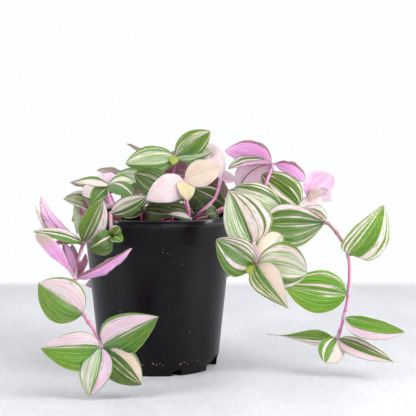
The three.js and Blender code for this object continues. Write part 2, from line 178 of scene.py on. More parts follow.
wide = np.arange(NOTCHES) % 3 == 1
notch_angles = np.radians(NOTCH_FIRST + 360 / NOTCHES * np.arange(NOTCHES) + WIDE_NOTCH_TURN * wide)
corner = np.array([[x, y, z] for z in (-1, 1) for y in (-1, 1) for x in (-1, 1)], float)
notch_size = np.where(wide[:, None], [NOTCH_DEPTH / 2, WIDE_NOTCH_WIDTH / 2, WIDE_NOTCH_HEIGHT],
                      [NOTCH_DEPTH / 2, NOTCH_WIDTH / 2, NOTCH_HEIGHT])
blocks = corner[None] * notch_size[:, None] + [FOOT_RADIUS, 0, 0]
cos, sin = np.cos(notch_angles)[:, None], np.sin(notch_angles)[:, None]
blocks = np.stack([
    blocks[..., 0] * cos - blocks[..., 1] * sin,
    blocks[..., 0] * sin + blocks[..., 1] * cos,
    blocks[..., 2],
], -1)
block_faces = np.array([[0, 2, 3, 1], [4, 5, 7, 6], [0, 1, 5, 4], [2, 6, 7, 3], [0, 4, 6, 2], [1, 3, 7, 5]])
cutter = mesh_piece("notch_cutter", blocks, copied_faces(block_faces, len(corner), NOTCHES))
notching = pot.modifiers.new("notches", "BOOLEAN")
notching.operation, notching.solver, notching.object = "DIFFERENCE", "EXACT", cutter
notched = bpy.data.meshes.new_from_object(pot.evaluated_get(bpy.context.evaluated_depsgraph_get()))
pot.modifiers.clear()
pot.data = notched
pot.data.set_sharp_from_angle(angle=math.radians(SHARP_ANGLE))
bpy.data.objects.remove(cutter)


def paint(red, green, blue):
    """A colour as a paint chart gives it, 0 to 255, as the linear colour that a shader takes."""
    share = np.array([red, green, blue]) / 255
    return (*np.where(share <= 0.04045, share / 12.92, ((share + 0.055) / 1.055) ** 2.4).tolist(), 1)


class Value:
    """A shader socket with the arithmetic operators, each of which adds a Math node."""

    def __init__(self, finish, socket):
        self.finish, self.socket = finish, socket

    def math(self, operation, *values):
        return self.finish.node("ShaderNodeMath", {"operation": operation}, *values)[0]

    def __add__(self, other):
        return self.math("ADD", self, other)

    def __sub__(self, other):
        return self.math("SUBTRACT", self, other)

    def __rsub__(self, other):
        return self.math("SUBTRACT", other, self)

    def __mul__(self, other):
        return self.math("MULTIPLY", self, other)

    def __abs__(self):
        return self.math("ABSOLUTE", self)

    __radd__, __rmul__ = __add__, __mul__

    def sine(self):
        return self.math("SINE", self)

    def most(self, other):
        """The larger of the two."""
        return self.math("MAXIMUM", self, other)

    def step(self, low, high):
        """0 below low, 1 above high, and a smooth rise between."""
        smooth = {"interpolation_type": "SMOOTHSTEP"}
        return self.finish.node("ShaderNodeMapRange", smooth, self, low, high, 0, 1)[0]


class Finish:
    """The node tree of a material or a world under construction, and one method that adds any node."""

    def __init__(self, owner):
        owner.use_nodes = True
        self.owner, self.nodes, self.links = owner, owner.node_tree.nodes, owner.node_tree.links
        self.nodes.clear()

    def node(self, kind, settings=None, *values, **named):
        """Adds a node of this type: settings first, then its sockets in order, or by name with a space
        for each underscore. A value is a number, a tuple or a Value. Returns its outputs as Values."""
        made = self.nodes.new(kind)
        for key, value in (settings or {}).items():
            setattr(made, key, value)
        wanted = [*zip([s for s in made.inputs if s.enabled], values)]
        wanted += [(made.inputs[key.replace("_", " ")], value) for key, value in named.items()]
        for socket, value in wanted:
            if isinstance(value, Value):
                self.links.new(value.socket, socket)
            else:
                socket.default_value = value
        return [Value(self, s) for s in made.outputs if s.enabled]

    def mix(self, share, first, second):
        """The colour first where share is 0 and second where it is 1."""
        return self.node("ShaderNodeMix", {"data_type": "RGBA"}, share, first, second)[0]

    def vector(self, x, y, z):
        """Three numbers as one place."""
        return self.node("ShaderNodeCombineXYZ", {}, x, y, z)[0]

    def parts(self, vector):
        """The three numbers of a vector."""
        return self.node("ShaderNodeSeparateXYZ", {}, vector)

    def place(self):
        """The place on the object, in metres."""
        return self.node("ShaderNodeTexCoord")[3]

    def numbers(self, title):
        """The four numbers of a piece's attribute. One that has three numbers has 1 as its fourth."""
        _, vector, _, last = self.node("ShaderNodeAttribute", {"attribute_name": title})
        return [*self.parts(vector), last]

    def noise(self, place, scale, detail=2.0, rough=0.5):
        """Soft noise, about 0 to 1, at a place."""
        return self.node("ShaderNodeTexNoise", {}, place, Scale=scale, Detail=detail, Roughness=rough)[0]

    def surface(self, color, roughness, bump, depth, coat=0.0, clear=None, **constants):
        """Closes the material with a Principled BSDF, with bumps of this depth in metres, and see-through
        where clear is 1. Constants stay on the shader's own sockets."""
        normal = self.node("ShaderNodeBump", {}, Strength=1.0, Distance=depth, Height=bump)[0]
        shader = self.node("ShaderNodeBsdfPrincipled", {}, Base_Color=color, Roughness=roughness,
                           Coat_Weight=coat, Normal=normal, **constants)[0]
        if clear is not None:
            through = self.node("ShaderNodeBsdfTransparent")[0]
            shader = self.node("ShaderNodeMixShader", {}, clear, shader, through)[0]
        self.node("ShaderNodeOutputMaterial", {}, shader)
        return self.owner


def pot_plastic():
    """Black plastic: nearly even colour, a satin gloss that fine mould texture breaks up, faint rubbed
    streaks down the wall, a little dust, more of it near the foot, and a rim polished in patches."""
    f = Finish(bpy.data.materials.new("black_plastic"))
    place = f.place()
    x, y, z = f.parts(place)
    streaks = f.noise(f.vector(x * 900, y * 900, z * 60), 1.0, 3.0)
    grain = f.noise(place, 2600.0, 2.0)
    cloud = f.noise(place, 70.0, 3.0)
    rubbed = streaks.step(0.56, 0.78) * cloud.step(0.42, 0.7)
    dust = f.noise(place, 1500.0, 1.0).step(0.66, 0.76) * f.noise(place, 120.0, 2.0).step(0.5, 0.72)
    low = 1 - z.step(0.0, 0.02)
    color = f.mix(cloud, paint(4, 4, 6), paint(7, 7, 11))
    color = f.mix(rubbed * 0.25, color, paint(38, 38, 42))
    color = f.mix(dust * (0.35 + low * 0.4), color, paint(128, 122, 115))
    rough = 0.26 + cloud * 0.1 + rubbed * 0.12 + dust * 0.3
    polished = z.step(0.0995, 0.104) * (0.25 + cloud.step(0.4, 0.62) * 0.75)
    return f.surface(color, rough, grain * 0.6 + streaks * 0.4, 0.00006, polished,
                     Coat_Roughness=0.08, Specular_IOR_Level=0.205)


pot.data.materials.clear()
pot.data.materials.append(pot_plastic())
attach(pot, "root")
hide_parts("pot")

# Crumbs: grains of potting mix and a few pale specks that watering has left stuck to the pot's wall and
# lying round its foot. A row is the azimuth in degrees, the height, the size, and the kind, from 0 for
# bark to 1 for mineral.
CRUMBS = np.array([
    (-84, 87.4, .5, .3), (-84.6, 85.4, .45, 1), (-81, 84.6, .45, 1), (-79.6, 83.8, .35, 1), (-76, 78, .3, 1),
    (-70, 77, .4, 1), (-122, 44, .5, 1), (-60, 30, .45, 1), (-110, 11, .5, 0), (-105, 8.6, .9, 0),
    (-103, 8.2, .7, .6), (-93, 9.3, .8, .9), (-90, 8.4, .8, 0), (-87, 9.2, .6, .5), (-84, 8, .5, 1),
    (-68, 8.2, 1, 0), (-66, 9.4, .5, .9), (-64, 9.2, .8, .2), (-61, 8, .7, 0), (-50, 9.4, .8, .1),
])
CRUMB_LIFT, CRUMB_STRETCH = 0.1, (0.8, 0.7, 0.6)
GRAIN_CORNERS, GRAIN_ROUGHNESS = 12, (0.72, 1.15)


def ico():
    """The twelve corners of an icosahedron of radius 1, and its twenty faces, outwards."""
    g = (1 + 5**0.5) / 2
    p = np.array([(-1, g, 0), (1, g, 0), (-1, -g, 0), (1, -g, 0), (0, -1, g), (0, 1, g),
                  (0, -1, -g), (0, 1, -g), (g, 0, -1), (g, 0, 1), (-g, 0, -1), (-g, 0, 1)])
    f = np.array([(0, 11, 5), (0, 5, 1), (0, 1, 7), (0, 7, 10), (0, 10, 11), (1, 5, 9), (5, 11, 4),
                  (11, 10, 2), (10, 7, 6), (7, 1, 8), (3, 9, 4), (3, 4, 2), (3, 2, 6), (3, 6, 8),
                  (3, 8, 9), (4, 9, 5), (2, 4, 11), (6, 2, 10), (8, 6, 7), (9, 8, 1)])
    return p / np.linalg.norm(p[0]), f


def grains(places, sizes, seed):
    """Rough grains: each is an icosahedron whose corners are pushed in or out at random, stretched by
    its three sizes, turned by a random rotation (from a unit quaternion) and set at its place."""
    draw = np.random.default_rng(seed)
    corners, faces = ico()
    count = len(places)
    shape = corners[None] * draw.uniform(*GRAIN_ROUGHNESS, (count, GRAIN_CORNERS, 1)) * sizes[:, None]
    quaternions = draw.normal(size=(4, count))
    w, x, y, z = quaternions / np.linalg.norm(quaternions, axis=0)
    turn = np.stack([
        1 - 2 * (y * y + z * z), 2 * (x * y - z * w), 2 * (x * z + y * w),
        2 * (x * y + z * w), 1 - 2 * (x * x + z * z), 2 * (y * z - x * w),
        2 * (x * z - y * w), 2 * (y * z + x * w), 1 - 2 * (x * x + y * y),
    ], -1).reshape(count, 3, 3)
    points = np.einsum("nij,nkj->nki", turn, shape) + places[:, None]
    return points, copied_faces(faces, GRAIN_CORNERS, count)


crumb_azimuth, crumb_height, crumb_size, crumb_kind = CRUMBS.T
crumb_share = (crumb_height - BODY_FOOT) / (BODY_TOP - BODY_FOOT)
crumb_radius = BODY_FOOT_RADIUS + (BODY_TOP_RADIUS - BODY_FOOT_RADIUS) * crumb_share + CRUMB_LIFT
crumb_places = polar(crumb_radius, np.radians(crumb_azimuth), crumb_height)
crumb_points, crumb_faces = grains(crumb_places, crumb_size[:, None] * CRUMB_STRETCH, seed=5)
crumb_look = np.repeat(np.stack([crumb_kind] * 3, -1), GRAIN_CORNERS, 0)
crumbs = mesh_piece("pot_crumbs", crumb_points, crumb_faces, grain=crumb_look)


def crumb_finish():
    """Pale mineral specks high on the wall, and orange-brown bark crumbs near the foot."""
    f = Finish(bpy.data.materials.new("stuck_crumbs"))
    kind = f.numbers("grain")[0]
    mottle = f.noise(f.place(), 1800.0)
    color = f.mix(kind, paint(150, 92, 52), paint(148, 138, 130))
    color = f.mix(mottle.step(0.4, 0.7) * 0.5, color, paint(74, 50, 36))
    return f.surface(color, 0.85 + mottle * 0.1, mottle, 0.0001)


crumbs.data.materials.append(crumb_finish())
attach(crumbs, "root")

# Potting mix: dark peat with bark chips and a few white perlite grains, filled to a finger's width
# below the rim and heaped a little round the stems. The chips are loose grains that lie on top.
MIX_BOTTOM, MIX_BOTTOM_RADIUS, MIX_TOP, MIX_CROWN, MIX_EDGE_DROP = 3.5, 38, 95, 97.2, 0.5
MIX_RADIUS, MIX_RINGS, MIX_SEGMENTS, OUTER_RING, INNER_RING = 49.4, 44, 150, 49.2, 1.2
GAP = 0.3
INSET = WALL + GAP
LUMPS, LONGEST, SHORTEST, STEEPNESS, LUMP_LIMITS = 60, 24, 2.5, 0.012, (-1.2, 1.4)
LUMPS_FADE_DOWN, LUMPS_FADE_OUT = 5, 3
CHIPS, CHIP_REACH, CHIP_LIFT, CHIP_STRETCH = 1500, 48.2, 0.1, (1.3, 0.9, 0.55)


def crown(r):
    """The level of the heaped mix: MIX_TOP + (MIX_CROWN - MIX_TOP) (1 - (r / MIX_RADIUS)^2)."""
    return MIX_TOP + (MIX_CROWN - MIX_TOP) * (1 - (r / MIX_RADIUS) ** 2)


def lumps(x, y):
    """A lumpy ground: the sum of sine waves of random direction, whose heights fall with their
    wavelengths, from the longest to the shortest, kept within limits."""
    draw = np.random.default_rng(seed=3)
    long = LONGEST * (SHORTEST / LONGEST) ** draw.uniform(0, 1, LUMPS)
    way = draw.uniform(0, 2 * np.pi, LUMPS)
    start = draw.uniform(0, 2 * np.pi, LUMPS)
    wave = 2 * np.pi / long
    phase = x[..., None] * wave * np.cos(way) + y[..., None] * wave * np.sin(way) + start
    return np.clip((np.sin(phase) * long * STEEPNESS).sum(-1), *LUMP_LIMITS)


def mix_warp(r, z, a):
    """The top follows the lumps, which fade out at the wall and below the surface."""
    share = np.clip((z - MIX_TOP) / LUMPS_FADE_DOWN + 1, 0, 1)
    share = share * np.clip((MIX_RADIUS - r) / LUMPS_FADE_OUT, 0, 1)
    return r, z + share * lumps(r * np.cos(a), r * np.sin(a))


top_rings = np.linspace(OUTER_RING, INNER_RING, MIX_RINGS)
mix_profile = np.array([
    (0, MIX_BOTTOM), (MIX_BOTTOM_RADIUS, MIX_BOTTOM),
    (BODY_FOOT_RADIUS - INSET, BODY_FOOT + GAP), (BODY_TOP_RADIUS - INSET, BODY_TOP - GAP),
    (COLLAR_FOOT_RADIUS - INSET, MIX_TOP - MIX_EDGE_DROP), *zip(top_rings, crown(top_rings)), (0, MIX_CROWN),
])
soil = mesh_piece("mix_body", *turned(mix_profile, MIX_SEGMENTS, mix_warp))

draw = np.random.default_rng(seed=8)
chip_radius, chip_angle = CHIP_REACH * np.sqrt(draw.uniform(0, 1, CHIPS)), draw.uniform(0, 2 * np.pi, CHIPS)
chip_kind = draw.choice([0, 1, 2, 3], CHIPS, p=[0.5, 0.3, 0.14, 0.06])
chip_size = draw.gamma(5, 0.16, (CHIPS, 1)) * draw.uniform(0.45, 1.25, (CHIPS, 3)) * CHIP_STRETCH
chip_places = polar(chip_radius, chip_angle, crown(chip_radius))
chip_places[:, 2] += lumps(chip_places[:, 0], chip_places[:, 1]) + CHIP_LIFT
chip_points, chip_faces = grains(chip_places, chip_size, seed=9)
chip_look = np.stack([chip_kind, draw.uniform(0, 1, CHIPS), np.zeros(CHIPS)], -1)
chips = mesh_piece("mix_chips", chip_points, chip_faces, grain=np.repeat(chip_look, GRAIN_CORNERS, 0))
chips.data.shade_flat()


def mix_finish(name, loose):
    """Peat, from near black to dark brown. Loose grains are peat, bark, pale fibre or white perlite."""
    f = Finish(bpy.data.materials.new(name))
    place = f.place()
    speck, cloud = f.noise(place, 1300.0, 3.0), f.noise(place, 260.0, 2.0)
    color = f.mix(speck.step(0.35, 0.7), paint(27, 20, 16), paint(62, 44, 32))
    if loose:
        kind, shade, _, _ = f.numbers("grain")
        color = f.mix(kind.step(0.4, 0.6), color, f.mix(shade, paint(72, 45, 28), paint(120, 82, 52)))
        color = f.mix(kind.step(1.4, 1.6), color, f.mix(shade, paint(132, 104, 74), paint(160, 134, 100)))
        color = f.mix(kind.step(2.4, 2.6), color, paint(214, 210, 200))
    color = f.mix(cloud.step(0.5, 0.8) * 0.5, color, paint(22, 17, 14))
    return f.surface(color, 0.8 + speck * 0.18, speck * 0.7 + cloud * 0.3, 0.0006)


for item, loose in ((soil, False), (chips, True)):
    item.data.materials.append(mix_finish(item.name + "_peat", loose))
    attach(item, "root")
    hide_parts("potting_mix")

# Leaves: thin fleshy pointed blades that clasp the stem, folded up a little along the midrib and softly
# waved at the edge. The upper side is green with pale stripes from foot to tip, and the underside is
# dull olive to lilac. Each blade is a closed thin solid.
ROOT, NECK, NECK_HALF, TIP_HALF = 1.3, 0.07, 0.9, 0.2
PLAIN, BROAD_FOOT, ROUND, LONG_FOOT, DRAWN_OUT = (.62, .8), (.38, .76), (.6, .52), (1, .62), (1.2, 3.4)
BOW, WAVE, THICK, THIN, LOWEST = 0.06, 0.5, 0.62, 0.3, 0.4
BLADE_ROWS = 26
BLADE_COLUMNS = np.array([0, 0.05, 0.13, 0.25, 0.38, 0.52, 0.66, 0.79, 0.9, 0.97, 1])
ACROSS = np.concatenate([-BLADE_COLUMNS[:0:-1], BLADE_COLUMNS])
BLADE_POINTS, BLADE_QUADS = BLADE_ROWS * len(ACROSS), (BLADE_ROWS - 1) * (len(ACROSS) - 1)
NO_BAND = (0, -3)


def leaf(node, tip, faces, width, arch=BOW, skew=0, look="striped", bands=None, tint=0.5, tone=0.5,
         silver=NO_BAND, form=PLAIN, cup=1, ruffle=1):
    """One leaf: the stem's node it grows from, its tip, the way its upper face looks, its width, its bow,
    how much wider its left half is, its outline as (rise, fall), how deep it folds, how wavy its edge is,
    and its markings. Bands and silver are (place, half width) across the blade, from -1 at its right edge
    to 1 at its left. Tint is -2 for lemon, -1 for peach, 0 for cream, 1 for pink and 2 for lilac. Tone is
    0 for dark green, 1 for bright and 2 for yellow-green, and below 0 the leaf has no margin."""
    return dict(node=node, tip=tip, faces=faces, width=width, arch=arch, skew=skew, look=look, bands=bands,
                tint=tint, tone=tone, silver=silver, rise=form[0], fall=form[1], cup=cup, ruffle=ruffle)


def blades(leaves, nodes, seed):
    """Grids of points for all the leaves of a shoot, upper faces and undersides, and the share u along
    and v across. At u and v the point is foot + u L along + v h side + (bow + fold + wave) normal, where
    h is the outline t^rise (1-t)^fall of the share t past the neck, bow is arch L 4u(1-u), fold is
    h (0.3 cup |v| - 0.24 v^2), and the wave is two sines along the edge that grow with |v|^2.5. Near its
    foot the blade is rolled round the stem, its midrib is a groove, and its tip bends up or down."""
    draw = np.random.default_rng(seed)
    count = len(leaves)

    def column(key):
        return np.array([entry[key] for entry in leaves], float)

    tips, faces = column("tip"), column("faces")
    feet = np.array([nodes[entry["node"]] for entry in leaves], float)
    along = tips - feet
    along /= np.linalg.norm(along, axis=1, keepdims=True)
    feet = feet - ROOT * along
    length = np.linalg.norm(tips - feet, axis=1)[:, None, None]
    normal = faces - (faces * along).sum(1, keepdims=True) * along
    normal /= np.linalg.norm(normal, axis=1, keepdims=True)
    along, normal = along[:, None, None], normal[:, None, None]
    side = np.cross(normal, along)
    spread = (1 - np.cos(np.linspace(0, np.pi, BLADE_ROWS))) / 2
    u = (0.6 * spread + 0.4 * np.linspace(0, 1, BLADE_ROWS))[None, :, None]
    v = ACROSS[None, None, :]
    keys = ("width", "skew", "arch", "rise", "fall", "cup", "ruffle")
    width, skew, arch, rise, fall, cup, ruffle = (column(key)[:, None, None] for key in keys)
    t = np.clip((u - NECK) / (1 - NECK), 0, 1)
    peak = rise / (rise + fall)
    outline = t**rise * (1 - t) ** fall / (peak**rise * (1 - peak) ** fall)
    half = np.maximum(np.where(u < 0.5, NECK_HALF, TIP_HALF), width / 2 * outline * (1 + skew * v))
    small = np.clip(width / 20, 0.3, 1)
    phase = draw.uniform(0, 2 * np.pi, (2, count, 1, 1))
    turns = draw.uniform(1.6, 3.2, (2, count, 1, 1))
    start = np.where(v > 0, phase[0], phase[1])
    rate = np.where(v > 0, turns[0], turns[1])
    swell = 4 * u * (1 - u)
    slow_wave = np.sin(2 * np.pi * rate * u + start)
    quick_wave = np.sin(2 * np.pi * 2.6 * rate * u + 3 * start)
    wave = WAVE * ruffle * small * np.abs(v) ** 2.5 * swell * (slow_wave + 0.4 * quick_wave)
    fold = half * (0.3 * cup * np.abs(v) - 0.24 * v**2)
    clasp = half * 0.45 * np.clip(1 - u / 0.2, 0, 1) ** 1.5 * np.abs(v) ** 1.4
    bend = draw.uniform(-0.5, 0.35, (count, 1, 1)) * small * np.clip((u - 0.7) / 0.3, 0, 1) ** 2 * 2
    groove = -0.16 * small * np.exp(-((v / 0.07) ** 2)) * (1 - u) * (u > 0.05)
    ribs = 0.05 * small * np.cos(v * 9) * swell
    lift = arch * length * swell + fold + clasp + wave + bend + groove + ribs
    drift = 0.012 * length * draw.uniform(-1, 1, (count, 1, 1)) * np.sin(np.pi * u)
    thick = (THIN + (THICK - THIN) * (1 - np.abs(v) ** 3) * (1 - u**2)) * np.clip(width / 12, 0.7, 1)
    middle = feet[:, None, None] + (u * length)[..., None] * along + (v * half + drift)[..., None] * side
    points = np.stack([middle + (lift + way * thick / 2)[..., None] * normal for way in (1, -1)], 1)
    points[..., 2] = np.maximum(points[..., 2], LOWEST)
    uv = np.stack(np.broadcast_arrays(u, v / 2 + 0.5, half)[:2], -1)
    return points, np.stack([uv, uv], 1)


def blade_faces(count):
    """Faces of count leaves: a grid above, a grid below turned over, and a strip round the edge."""
    above = grid_faces(BLADE_ROWS, len(ACROSS))
    right = np.arange(BLADE_ROWS - 1) * len(ACROSS)
    left = right + len(ACROSS) - 1
    foot = np.arange(len(ACROSS) - 1)
    tip = foot + BLADE_POINTS - len(ACROSS)
    strips = [
        np.stack([here, there, there + BLADE_POINTS, here + BLADE_POINTS], 1)
        for here, there in ((right + len(ACROSS), right), (left, left + len(ACROSS)),
                            (foot, foot + 1), (tip + 1, tip))
    ]
    return copied_faces(np.vstack([above, above[:, ::-1] + BLADE_POINTS, *strips]), 2 * BLADE_POINTS, count)


def markings(entry, draw):
    """The five pale bands of a leaf: its own, or else drawn by its look. A band is (place, half width)."""
    def scattered(places, shift, halves):
        return [(place + draw.uniform(-shift, shift), draw.uniform(*halves)) for place in places]

    hand, look = draw.choice([-1, 1]), entry["look"]
    if entry["bands"] is not None:
        given = [*entry["bands"]]
    elif look == "pink":
        given = [(0, 1.3)]
    elif look == "half":
        given = [(0.52 * hand, 0.46), (-0.2 * hand, 0.025), (-0.5 * hand, 0.03)]
    elif look == "shade":
        given = [(-0.4, 0.015), (0.1, 0.01), (0.55, 0.015)]
    elif look == "green":
        given = [(draw.uniform(-0.2, 0.2), 0.03), (0.9 * hand, 0.05)]
    elif look == "pale":
        given = scattered((-0.8, -0.4, 0, 0.4, 0.8), 0.05, (0.05, 0.18))
    else:
        given = scattered((-0.86, -0.45, 0.02, 0.45, 0.86), 0.12, (0.01, 0.11))
    return (given + [NO_BAND] * 5)[:5]


def blade_marks(f):
    """The markings that both sides of a blade share, as masks and streaky noises over u and v. Pale and
    silver bands come with each leaf; streaks fray their edges, and thin pale threads and green flecks
    run along the veins near them."""
    places = [*f.numbers("bands_a"), *f.numbers("bands_b"), *f.numbers("bands_c")]
    *band_places, silver_place = places[0::2]
    *band_halves, silver_half = places[1::2]
    seed, tint, tone, _ = f.numbers("leaf")
    u, across, _ = f.parts(f.node("ShaderNodeUVMap", {"uv_map": "UVMap"})[0])
    v = across * 2 - 1

    def streaky(along_waves, across_waves, start, detail, rough=0.5):
        return f.noise(f.vector(u * along_waves, v * across_waves, start), 1.0, detail, rough)

    slow, broad = streaky(2.2, 3, seed, 2.0), streaky(1.3, 7.5, seed + 3, 2.0)
    streak, fine = streaky(1.7, 17, seed + 5, 3.0, 0.6), streaky(2.6, 44, seed + 9, 2.0, 0.6)
    dashes, mottle = streaky(6, 22, seed + 13, 1.0), streaky(30, 14, seed, 2.0)
    band, *others = (half - abs(v - place) for place, half in zip(band_places, band_halves))
    for other in others:
        band = band.most(other)
    frayed = band + (slow - 0.5) * 0.1 + (broad - 0.5) * 0.2 + (streak - 0.5) * 0.2 + (fine - 0.5) * 0.08
    border = 1 - band.step(0.08, 0.24)
    thread = streak.step(0.65, 0.69) * fine.step(0.38, 0.52)
    pale = frayed.step(-0.015, 0.025).most(thread * 0.35)
    pale = pale * (1 - dashes.step(0.6, 0.66) * border * 0.75) * (1 - fine.step(0.56, 0.68) * border * 0.4)
    silver = silver_half - abs(v - silver_place) + (fine - 0.5) * 0.7 + (streak - 0.5) * 0.5
    ribs = (v * 66).sine() * 0.3 + (v * 31 + 0.6).sine() * 0.4
    return SimpleNamespace(
        u=u, v=v, tint=tint, tone=tone, slow=slow, broad=broad, streak=streak, fine=fine, mottle=mottle,
        frayed=frayed, pale=pale, silver=silver.step(-0.06, 0.12),
        edge=abs(v).step(0.95, 0.985) * tone.step(-0.1, 0.0),
        tip=u.step(0.55, 0.88) * band.step(0.3, 0.6) * tone.step(0.4, 0.6),
        height=(ribs + streak * 1.1 + mottle * 0.35) * (1 - pale * 0.55),
    )


def blade_top():
    """The upper side: green with darker and lighter streaks and a grey-green wash along each pale band.
    Pale parts go from lemon through peach, cream and pink to lilac with the leaf's tint."""
    f = Finish(bpy.data.materials.new("blade_top"))
    m = blade_marks(f)
    tint, tone = m.tint, m.tone

    def by_tone(dark, bright):
        return f.mix(tone, paint(*dark), paint(*bright))

    green = by_tone((30, 56, 18), (68, 134, 10))
    green = f.mix(tone - 1, green, paint(202, 216, 70))
    green = f.mix(m.streak.step(0.42, 0.66) * 0.5, green, by_tone((70, 106, 44), (118, 178, 40)))
    green = f.mix(m.mottle.step(0.5, 0.7) * 0.22, green, by_tone((88, 122, 62), (144, 192, 76)))
    green = f.mix((1 - m.broad).step(0.52, 0.68) * 0.4, green, by_tone((20, 44, 14), (42, 96, 10)))
    green = f.mix(m.frayed.step(-0.14, 0.0) * 0.35, green, paint(116, 148, 84))
    silver = f.mix(m.streak.step(0.4, 0.62), paint(134, 164, 110), paint(206, 217, 184))
    green = f.mix(m.silver * 0.9, green, silver)
    light = f.mix(tint, paint(228, 212, 188), paint(223, 182, 199))
    light = f.mix(tint - 1, light, paint(221, 145, 207))
    light = f.mix(0 - tint, light, paint(209, 174, 157))
    light = f.mix(-1 - tint, light, paint(212, 192, 138))
    cloud = f.mix(0 - tint, f.mix(tint, paint(227, 220, 209), paint(223, 209, 217)), paint(222, 191, 185))
    cloud = f.mix(-1 - tint, cloud, paint(218, 204, 168))
    light = f.mix(m.slow.step(0.4, 0.66) * 0.6, light, cloud)
    veins = f.mix(tint, paint(211, 209, 175), paint(232, 212, 210))
    light = f.mix(m.fine.step(0.5, 0.75) * 0.25, light, veins)
    color = f.mix(m.pale, green, light)
    midrib = (1 - abs(m.v).step(0.0, 0.035)) * (1 - m.u.step(0.6, 0.95))
    color = f.mix(midrib * 0.35, color, paint(196, 206, 160))
    color = f.mix(m.edge * 0.65, color, by_tone((84, 120, 58), (112, 166, 60)))
    color = f.mix(m.tip * 0.8, color, paint(160, 186, 84))
    color = f.mix(m.mottle.step(0.55, 0.75) * 0.1 * m.pale, color, paint(226, 190, 200))
    return f.surface(color, 0.3 + m.fine * 0.14 + m.pale * 0.06, m.height, 0.0003, 0.16,
                     Coat_Roughness=0.2, Specular_IOR_Level=0.4, Subsurface_Weight=0.5,
                     Subsurface_Radius=(0.004, 0.0032, 0.0026), Subsurface_Scale=1.0)


def blade_back():
    """The underside: pinkish to lilac below pale parts, olive to maroon below green ones. It is so thin
    and juicy that light from above shines through."""
    f = Finish(bpy.data.materials.new("blade_back"))
    m = blade_marks(f)
    tint = m.tint
    dull = f.mix(tint, paint(106, 118, 70), paint(128, 62, 84))
    dull = f.mix(m.tone, dull, paint(128, 142, 82))
    dull = f.mix(m.streak.step(0.45, 0.65) * 0.4, dull, paint(158, 118, 124))
    lilac = f.mix(tint - 0.2, paint(234, 202, 202), paint(234, 166, 216))
    lilac = f.mix(m.slow.step(0.44, 0.66) * (0.55 - tint * 0.2), lilac, paint(234, 200, 225))
    lilac = f.mix(m.streak.step(0.5, 0.66) * (tint - 0.3).most(0), lilac, paint(222, 100, 186))
    color = f.mix(m.pale, dull, lilac)
    color = f.mix(m.edge * 0.7, color, paint(124, 104, 84))
    color = f.mix(m.tip * 0.8, color, paint(140, 158, 92))
    return f.surface(color, 0.36 + m.fine * 0.16, m.height, 0.00024, 0.1,
                     Coat_Roughness=0.2, Specular_IOR_Level=0.36, Subsurface_Weight=0.9,
                     Subsurface_Radius=(0.0032, 0.0022, 0.003), Subsurface_Scale=1.0)


BLADE_TOP, BLADE_BACK = blade_top(), blade_back()

# Stems: round and juicy, swollen at each node, where a thin sheath that the leaf grows from wraps the
# stem. They run from deep magenta by the mix to pinkish brown or pale pink higher up.
STEM_FOOT, STEM_STEPS, STEM_SIDES, STUB = (84, 91.5, 99), 12, 14, 2
SLIM, SWELLING, RING_WIDTH, TAPER, TAPER_ROWS = 0.75, 0.2, 1.3, 0.35, 6
SHEATH, SHEATH_ROWS, SHEATH_WALL, SHEATH_LAP, SHEATH_LOWEST = 5.5, 9, 0.25, 0.6, 14
SHEATH_SIZE, SHEATH_FLARE, SHEATH_END = 0.92, 0.26, 0.8


def stem_path(nodes):
    """Points along the centripetal Catmull-Rom curve through the foot, two points straight above it, the
    nodes, and a short stub past the last; also the tangents, the distance along, and each node's row."""
    nodes = np.array(nodes, float)
    foot = np.stack([[nodes[0][0], nodes[0][1], z] for z in STEM_FOOT])
    way = nodes[-1] - nodes[-2]
    stub = nodes[-1] + STUB * way / np.linalg.norm(way)
    points = np.vstack([foot, nodes[1:], stub])
    points = np.vstack([2 * points[0] - points[1], points, 2 * points[-1] - points[-2]])
    gap = np.linalg.norm(np.diff(points, axis=0), axis=1) ** 0.5
    before, here, after = gap[:-2, None], gap[1:-1, None], gap[2:, None]
    p0, p1, p2, p3 = points[:-3], points[1:-2], points[2:-1], points[3:]
    start = ((p1 - p0) / before - (p2 - p0) / (before + here) + (p2 - p1) / here) * here
    end = ((p2 - p1) / here - (p3 - p1) / (here + after) + (p3 - p2) / after) * here
    t = (np.arange(STEM_STEPS) / STEM_STEPS)[None, :, None]
    p1, p2, start, end = (x[:, None] for x in (p1, p2, start, end))
    curve = p1 + start * t + (3 * (p2 - p1) - 2 * start - end) * t**2 + (2 * (p1 - p2) + start + end) * t**3
    curve = np.vstack([curve.reshape(-1, 3), points[-2]])
    tangent = np.gradient(curve, axis=0)
    tangent /= np.linalg.norm(tangent, axis=1, keepdims=True)
    run = np.concatenate([[0], np.cumsum(np.linalg.norm(np.diff(curve, axis=0), axis=1))])
    rows = (np.arange(1, len(nodes)) + 2) * STEM_STEPS
    return curve, tangent, run, rows


def tube(curve, tangent, radius, across):
    """Rings of radius r(row) round a path: point + r (cos a e1 + sin a e2), with e1 square to the path
    and to the fixed direction across, and e2 = tangent x e1."""
    e1 = np.cross(across, tangent)
    e1 /= np.linalg.norm(e1, axis=1, keepdims=True)
    e2 = np.cross(tangent, e1)
    a = np.arange(STEM_SIDES) * 2 * np.pi / STEM_SIDES
    ring = np.cos(a)[None, :, None] * e1[:, None] + np.sin(a)[None, :, None] * e2[:, None]
    return (curve[:, None] + radius[:, None, None] * ring).reshape(-1, 3)


